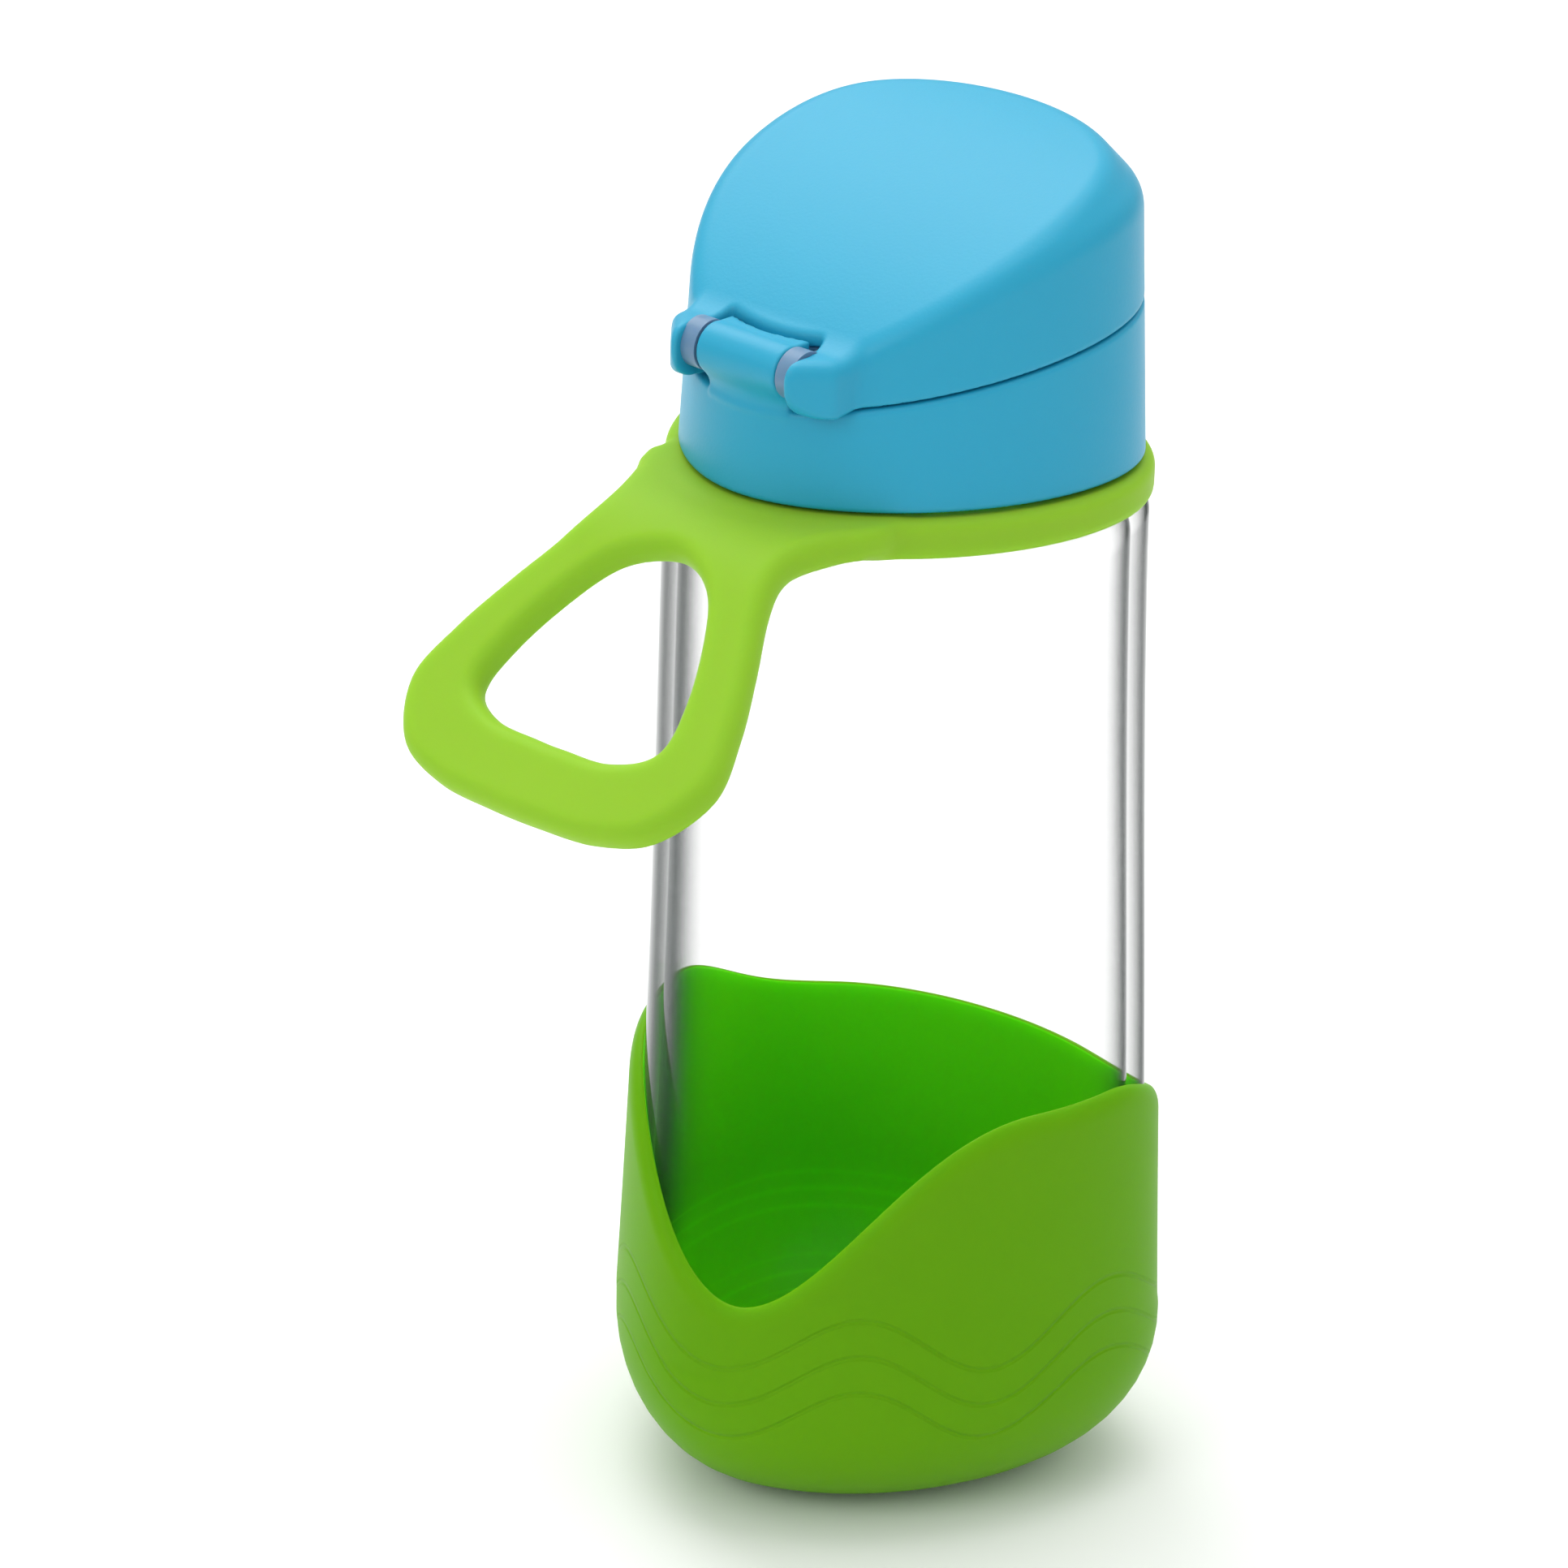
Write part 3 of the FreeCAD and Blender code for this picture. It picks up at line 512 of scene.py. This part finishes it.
rim = rim_height(tri_ring(body_r(RIM_FRONT) + BOOT_WALL / 2, TRI_BASE, 0.0))
outer_round = BODY_ROUND + BOOT_WALL
rings = []
for share in (0.2, 0.5, 0.8):
    rings.append(share * tri_ring(body_r(0) + BOOT_WALL - outer_round, body_k(0), 0.0))
for a in np.radians(np.linspace(90, 0, 15)):
    z = outer_round * (1 - math.sin(a))
    rings.append(tri_ring(body_r(z) + BOOT_WALL - outer_round * (1 - math.cos(a)), body_k(z), z))
for t in np.linspace(0, 1, 22)[1:]:
    rings.append(wall_ring(outer_round + (rim - LIP_RISE - outer_round) * t, BOOT_WALL))
for a in np.radians(np.linspace(0, 90, 10))[1:]:
    rings.append(wall_ring(rim - LIP_RISE * (1 - math.sin(a)), 0.35 + (BOOT_WALL - 0.35) * math.cos(a)))
SNUG = 0.03               # gap between the boot and the glass
outside_rings = len(rings)
rings.append(wall_ring(rim - 0.15, SNUG + 0.12))
rings.append(wall_ring(rim - 0.5, SNUG))
seat_z = BOOT_FLOOR + BODY_ROUND
for t in np.linspace(0, 1, 18)[1:]:
    rings.append(wall_ring(rim - 0.5 + (seat_z - rim + 0.5) * t, SNUG))
for a in np.radians(np.linspace(0, 90, 12))[1:]:
    z = BOOT_FLOOR + BODY_ROUND * (1 - math.sin(a))
    rings.append(tri_ring(body_r(z) - BODY_ROUND * (1 - math.cos(a)), body_k(z), z - SNUG, SNUG))
for share in (0.7, 0.3):
    middle = share * tri_ring(body_r(BOOT_FLOOR) - BODY_ROUND, body_k(BOOT_FLOOR), 0.0)
    rings.append(middle + (0, 0, BOOT_FLOOR - SNUG))
boot = skin("boot_sleeve", rings)
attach(boot, "bottle")
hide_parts("base_boot")


# ---- finishes ------------------------------------------------------------------------------------
class Val:
    """A shader value. Sums and products of values add the nodes that work them out."""

    def __init__(self, tree, socket):
        self.tree, self.socket = tree, socket

    def math(self, kind, other=None, first=None, clamp=False):
        pair = (self, other) if first is None else (first, self)
        sockets = {slot: value for slot, value in enumerate(pair) if value is not None}
        return add_node(self.tree, "Math", {"operation": kind, "use_clamp": clamp}, sockets)

    def __add__(self, other):
        return self.math("ADD", other)

    def __radd__(self, other):
        return self.math("ADD", other)

    def __sub__(self, other):
        return self.math("SUBTRACT", other)

    def __rsub__(self, other):
        return self.math("SUBTRACT", first=other)

    def __mul__(self, other):
        return self.math("MULTIPLY", other)

    def __rmul__(self, other):
        return self.math("MULTIPLY", other)

    def __truediv__(self, other):
        return self.math("DIVIDE", other)

    def clamped(self):
        return self.math("ADD", 0.0, clamp=True)

    def parts(self):
        """The x, y and z of a vector."""
        split = add_node(self.tree, "SeparateXYZ", None, {0: self})
        return [Val(self.tree, socket) for socket in split.socket.node.outputs]


def add_node(tree, kind, settings=None, sockets=None, output=0):
    """A node: its settings first, then the values or links of its sockets."""
    made = tree.nodes.new("ShaderNode" + kind)
    for key, value in (settings or {}).items():
        setattr(made, key, value)
    for key, value in (sockets or {}).items():
        if isinstance(value, Val):
            tree.links.new(value.socket, made.inputs[key])
        else:
            made.inputs[key].default_value = value
    return Val(tree, made.outputs[output])


def mixed(tree, factor, light, dark):
    """Colour between two, by a factor from 0 to 1."""
    sockets = {"Factor": factor, 6: (*dark, 1), 7: (*light, 1)}
    return add_node(tree, "Mix", {"data_type": "RGBA"}, sockets, 2)


class Finish:
    """A material with one Principled surface and the nodes that feed it."""

    def __init__(self, name, **constants):
        self.material = bpy.data.materials.new(name)
        self.material.use_nodes = True
        self.tree = self.material.node_tree
        self.surface = self.tree.nodes["Principled BSDF"]
        for key, value in constants.items():
            self.surface.inputs[key.replace("_", " ")].default_value = value

    def node(self, kind, settings=None, sockets=None, output=0):
        return add_node(self.tree, kind, settings, sockets, output)

    def place(self):
        """Position on the object, in millimetres."""
        where = self.node("TexCoord", output="Object")
        return self.node("VectorMath", {"operation": "SCALE"}, {0: where, "Scale": 1 / MM})

    def noise(self, vector, scale, detail=3.0):
        return self.node("TexNoise", None, {"Vector": vector, "Scale": scale, "Detail": detail})

    def tint(self, factor, light, dark):
        self.feed("Base Color", mixed(self.tree, factor, light, dark))

    def feed(self, slot, value):
        self.tree.links.new(value.socket, self.surface.inputs[slot])

    def bump(self, height, distance):
        sockets = {"Height": height, "Strength": 1.0, "Distance": distance}
        self.feed("Normal", self.node("Bump", None, sockets))

    def on(self, *things):
        for thing in things:
            thing.data.materials.clear()
            thing.data.materials.append(self.material)


def clouded(name, scale, light, dark, rough, swing, depth=None, **constants):
    """Finish whose colour, and where asked its roughness and height, drift with one soft noise."""
    finish = Finish(name, **constants)
    cloud = finish.noise(finish.place(), scale)
    finish.tint(cloud, light, dark)
    if swing:
        finish.feed("Roughness", (cloud * swing + rough).clamped())
    else:
        finish.surface.inputs["Roughness"].default_value = rough
    if depth:
        finish.bump(cloud, MM * depth)
    return finish


GROOVE_LEVELS, GROOVE_SWING, GROOVE_WAVES = (20.0, 25.5, 31.0), 4.5, 6.0
GROOVE_HALF, GROOVE_DEPTH = 0.55, 0.22


def soft_rubber(name, light, dark, engraved=False, rough=0.46):
    """Silicone with a faint grain, and three shallow wavy grooves where it is engraved."""
    finish = Finish(name, Specular_IOR_Level=0.08, Subsurface_Weight=0.5, Subsurface_Scale=0.005,
                    Subsurface_Radius=(0.5, 1.0, 0.1))
    where = finish.place()
    cloud, grain = finish.noise(where, 0.035, 2.0), finish.noise(where, 3.5, 2.0)
    finish.tint(cloud, light, dark)
    finish.feed("Roughness", (rough - 0.05 + cloud * 0.08 + grain * 0.04).clamped())
    height = grain * 0.012
    if engraved:
        x, y, z = where.parts()
        turn = y.math("ARCTAN2", x)
        for level in GROOVE_LEVELS:
            wave = (turn * GROOVE_WAVES + 0.6).math("SINE") * GROOVE_SWING + level
            gap = (z - wave).math("ABSOLUTE")
            groove = (1.0 - gap / GROOVE_HALF).clamped()
            height = height - groove * groove * (3.0 - groove * 2.0) * GROOVE_DEPTH
    finish.bump(height, MM)
    return finish


def moulded_blue():
    """Satin plastic of the lid and the collar."""
    finish = Finish("blue_plastic", Specular_IOR_Level=0.30, Subsurface_Weight=0.15, Subsurface_Scale=0.005,
                    Coat_Roughness=0.2)
    where = finish.place()
    cloud, grain = finish.noise(where, 0.03, 2.0), finish.noise(where, 2.0)
    finish.tint(cloud, (0.020, 0.345, 0.530), (0.014, 0.320, 0.500))
    finish.feed("Roughness", (cloud * 0.06 + grain * 0.05 + 0.34).clamped())
    finish.bump(grain, MM * 0.02)
    return finish


EDGE_START, EDGE_GAIN = 0.46, 2.6


def clear_glass():
    """Clear where it is looked straight through, with painted shade where the wall is seen edge on: a dark
    colour fades in there, standing in for the dark bands that refraction makes at the glass's edges.
    """
    finish = Finish("clear_glass", IOR=1.5, Specular_IOR_Level=0.06)
    wander = finish.noise(finish.place(), 0.02, 1.0)
    # painted shade: the dark colour below grows opaque as the wall turns edge on, in place of refracted dark
    # surroundings
    edge = finish.node("LayerWeight", None, {"Blend": 0.5}, "Facing")
    painted_dark_edge = ((edge - EDGE_START) * EDGE_GAIN).clamped()
    finish.tint(wander, (0.030, 0.045, 0.042), (0.020, 0.032, 0.030))
    finish.feed("Roughness", (wander * 0.06 + 0.02).clamped())
    finish.feed("Alpha", (painted_dark_edge * painted_dark_edge + 0.02).clamped())
    finish.bump(wander, MM * 0.25)
    # lamps and bounced light pass through the glass
    shadow = finish.node("LightPath", output="Is Shadow Ray")
    bounced = finish.node("LightPath", output="Is Diffuse Ray")
    seen = Val(finish.tree, finish.surface.outputs[0])
    sockets = {0: shadow.math("MAXIMUM", bounced), 1: seen, 2: finish.node("BsdfTransparent")}
    both = finish.node("MixShader", None, sockets)
    finish.tree.links.new(both.socket, finish.tree.nodes["Material Output"].inputs[0])
    return finish


soft_rubber("green_silicone", (0.270, 0.500, 0.030), (0.245, 0.470, 0.025)).on(strap)
soft_rubber("green_silicone_engraved", (0.125, 0.345, 0.001), (0.110, 0.320, 0.001), engraved=True).on(boot)
# painted light: the inside faces of the boot get a much brighter, more saturated copy of the same silicone,
# standing in for light that passes through the wall and bounces round the cup
inside = soft_rubber("green_silicone_inside_painted_light", (0.150, 0.880, 0.004), (0.110, 0.800, 0.002), rough=0.3)
boot.data.materials.append(inside.material)
for face in boot.data.polygons:
    face.material_index = 1 if outside_rings * COLUMNS <= min(face.vertices) else 0

moulded_blue().on(lid, collar)

clear_glass().on(glass)

liner = clouded("liner_plastic", 0.2, (0.17, 0.32, 0.50), (0.14, 0.28, 0.46), 0.3, 0.15, 0.02,
                Transmission_Weight=0.25, IOR=1.45, Subsurface_Weight=0.2, Subsurface_Scale=0.004)
liner.on(nodes["lid_liner"])
milky = clouded("clear_silicone", 0.4, (0.88, 0.90, 0.90), (0.80, 0.83, 0.84), 0.35, 0.1, 0.03,
                Transmission_Weight=0.45, IOR=1.41, Subsurface_Weight=0.3, Subsurface_Scale=0.004)
milky.on(nodes["spout"], nodes["vent_valve"], nodes["lid_seal"], nodes["neck_gasket"])
steel = clouded("pin_steel", 4.0, (0.62, 0.62, 0.63), (0.5, 0.5, 0.51), 0.25, 0.15, Metallic=1.0)
steel.on(nodes["hinge_pin"])

# ---- studio --------------------------------------------------------------------------------------
floor_mesh = bpy.data.meshes.new("floor")
floor_mesh.from_pydata([(-6, -6, 0), (6, -6, 0), (6, 6, 0), (-6, 6, 0)], [], [(0, 1, 2, 3)])
floor = bpy.data.objects.new("floor", floor_mesh)
bpy.context.scene.collection.objects.link(floor)
paper = clouded("white_paper", 0.01, (0.93, 0.93, 0.93), (0.92, 0.92, 0.92), 0.8, 0.0, Specular_IOR_Level=0.1)
paper.on(floor)

scene = bpy.context.scene
world = bpy.data.worlds.new("studio")
world.use_nodes = True
scene.world = world
sky = world.node_tree
_, _, height = add_node(sky, "TexCoord", output="Generated").parts()
glow = mixed(sky, (height * 1.6 + 0.15).clamped(), (1.0, 1.0, 1.0), (0.35, 0.36, 0.37))
backdrop = sky.nodes["Background"]
backdrop.inputs["Strength"].default_value = 0.97
sky.links.new(glow.socket, backdrop.inputs["Color"])


def soft_light(name, place, aim, width, power):
    """Round lamp, metres and watts."""
    light = bpy.data.lights.new(name, "AREA")
    light.shape, light.size, light.energy = "DISK", width, power
    lamp = bpy.data.objects.new(name, light)
    lamp.location = place
    lamp.rotation_euler = (Vector(aim) - Vector(place)).to_track_quat("-Z", "Y").to_euler()
    scene.collection.objects.link(lamp)


CAMERA_AZIMUTH = math.radians(42.0)
toward = Vector((math.sin(CAMERA_AZIMUTH), -math.cos(CAMERA_AZIMUTH), 0))
across = Vector((math.cos(CAMERA_AZIMUTH), math.sin(CAMERA_AZIMUTH), 0))
soft_light("overhead", tuple(Vector((0, 0, 1.5)) - toward * 0.25), (0, 0, 0.1), 1.3, 7.0)
soft_light("front_left", tuple(toward * 1.1 - across * 1.1 + Vector((0, 0, 1.1))), (0, 0, 0.1), 0.8, 4.5)
soft_light("behind_high", (-0.80, 0.26, 1.08), (0, 0, 0.15), 0.9, 4.5)

# ---- camera --------------------------------------------------------------------------------------
camera = bpy.data.cameras.new("camera")
camera.lens, camera.sensor_width, camera.clip_start = 167.97, 36.0, 0.05
eye = bpy.data.objects.new("camera", camera)
spot = toward * 0.930 - across * 0.01462 + Vector((0, 0, 0.4984))
turn = (Matrix.Rotation(CAMERA_AZIMUTH, 4, "Z") @ Matrix.Rotation(math.radians(90 - 23.195), 4, "X")
        @ Matrix.Rotation(math.radians(1.704), 4, "Z"))
eye.matrix_world = Matrix.Translation(spot) @ turn
scene.collection.objects.link(eye)
scene.camera = eye
scene.view_settings.view_transform = "Standard"
